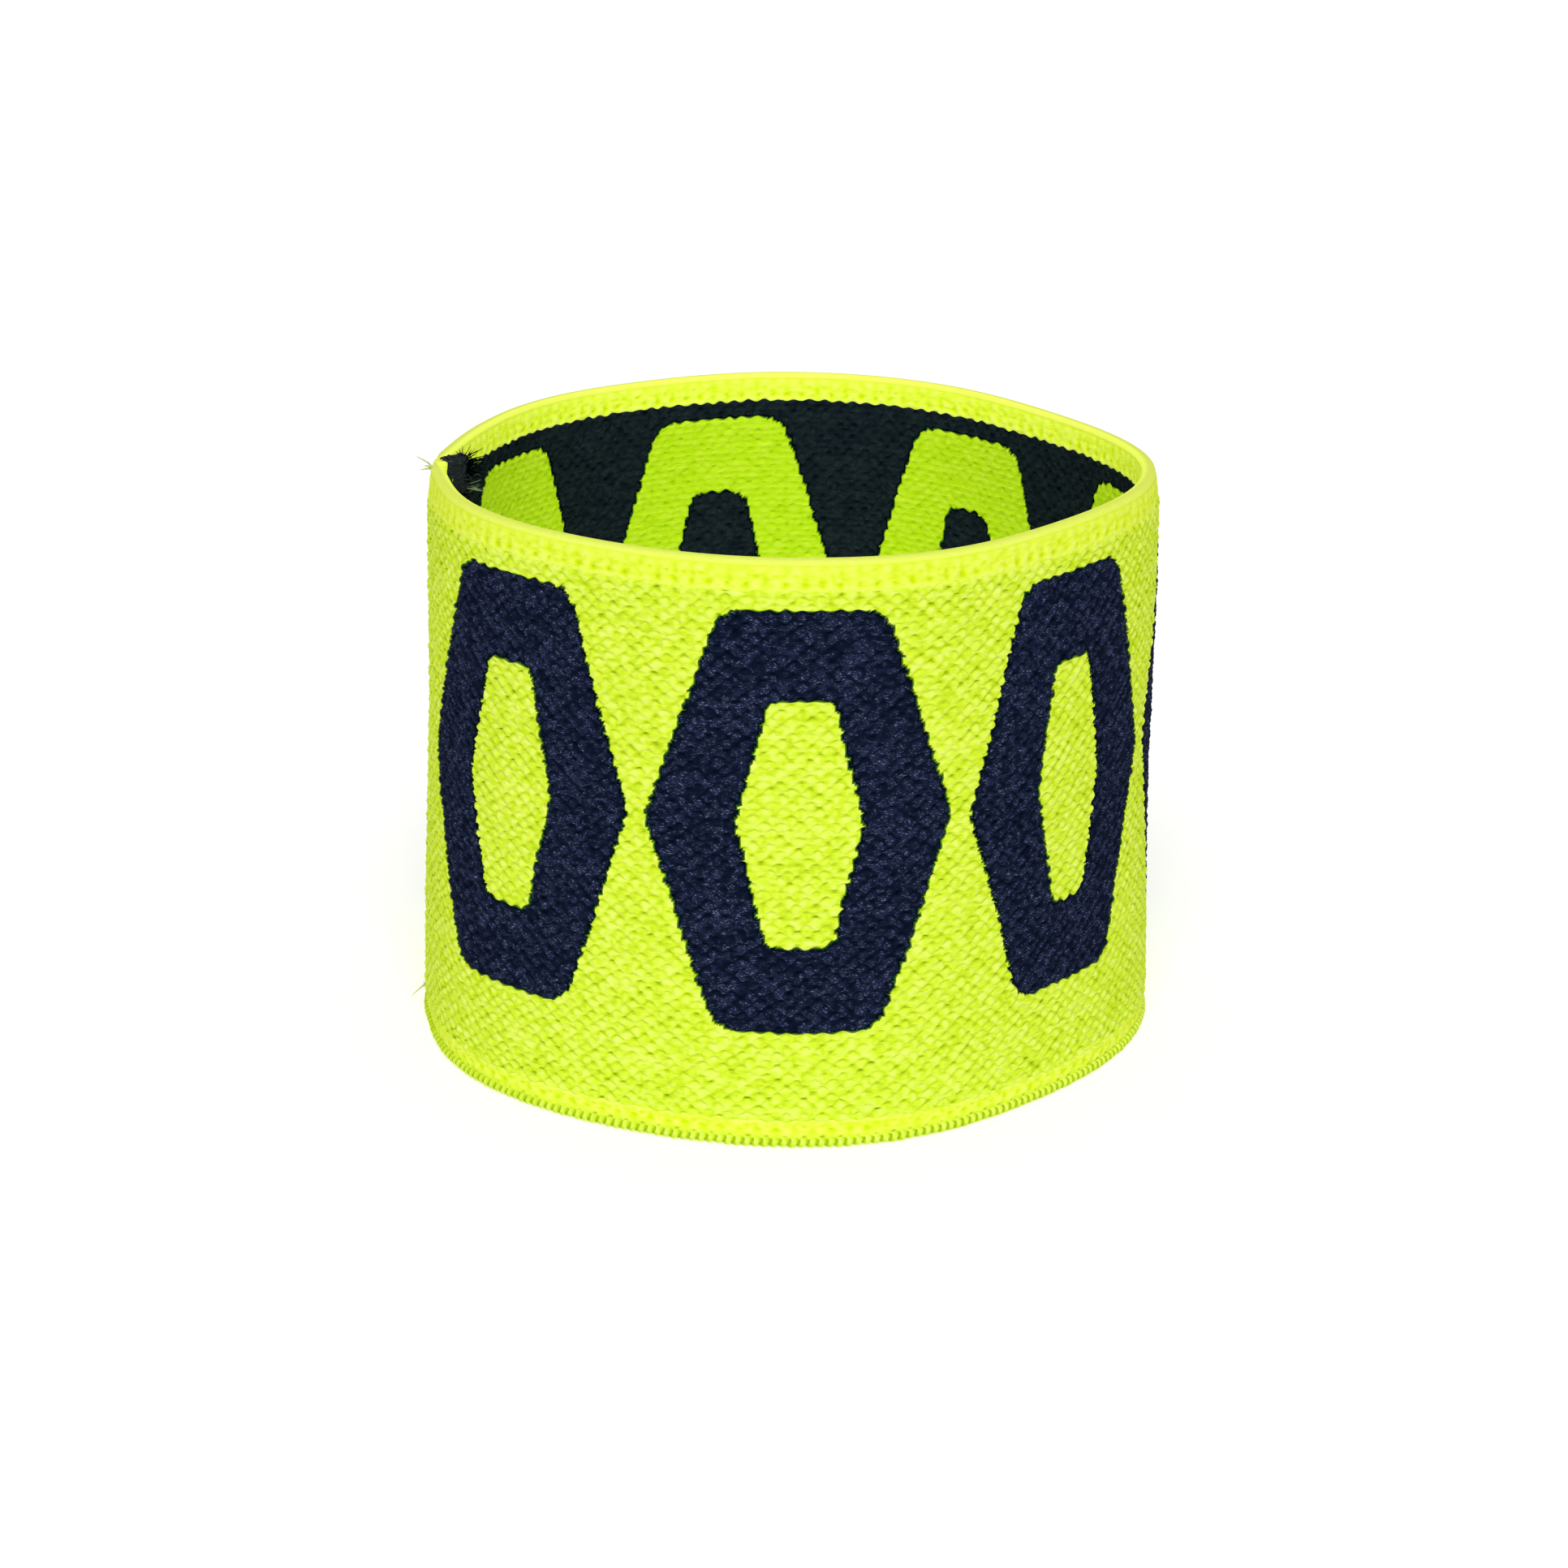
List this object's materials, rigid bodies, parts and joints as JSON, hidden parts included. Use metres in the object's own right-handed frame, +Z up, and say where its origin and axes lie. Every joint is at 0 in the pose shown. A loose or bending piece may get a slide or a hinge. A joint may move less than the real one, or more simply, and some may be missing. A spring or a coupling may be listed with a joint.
{
  "type": "sweat wristband",
  "caption": "Wide band of double-faced woven elastic sewn into a loop for the wrist, neon yellow outside with a navy hexagon pattern, colours swapped inside.",
  "frame": {"origin": "middle of the band's bounds in plan, at the height of the lower rim", "axes": "+Z up along the loop's axis, -Y to the front of the band, -X towards the seam"},
  "size_m": [0.052, 0.0532, 0.04],
  "materials": {
    "neon_yarn": "matte woven yarn, neon yellow",
    "navy_yarn": "matte woven yarn, dark navy",
    "elastic_rubber": "cut natural rubber, off-white",
    "seam_thread": "twisted polyester sewing thread, pale neon yellow",
    "overlock_thread": "textured polyester thread, dark navy"
  },
  "bodies": {
    "root": {"face_cloth": "neon_yarn", "face_motif_1": "navy_yarn", "face_motif_2": "navy_yarn", "face_motif_3": "navy_yarn", "face_motif_4": "navy_yarn", "face_motif_5": "navy_yarn", "face_motif_6": "navy_yarn", "face_motif_7": "navy_yarn", "back_cloth": "navy_yarn", "back_motif_1": "neon_yarn", "back_motif_2": "neon_yarn", "back_motif_3": "neon_yarn", "back_motif_4": "neon_yarn", "back_motif_5": "neon_yarn", "back_motif_6": "neon_yarn", "back_motif_7": "neon_yarn", "top_selvedge": "neon_yarn", "bottom_selvedge": "neon_yarn", "catch_thread": "neon_yarn", "elastic_cord_1": "elastic_rubber", "elastic_cord_2": "elastic_rubber", "elastic_cord_3": "elastic_rubber", "elastic_cord_4": "elastic_rubber", "elastic_cord_5": "elastic_rubber", "elastic_cord_6": "elastic_rubber", "elastic_cord_7": "elastic_rubber", "elastic_cord_8": "elastic_rubber", "elastic_cord_9": "elastic_rubber", "elastic_cord_10": "elastic_rubber", "elastic_cord_11": "elastic_rubber", "elastic_cord_12": "elastic_rubber", "seam_needle_thread": "seam_thread", "seam_bobbin_thread": "seam_thread", "overlock_thread": "overlock_thread", "thread_tail_top": "seam_thread", "thread_tail_bottom": "seam_thread"}
  },
  "joints": []
}
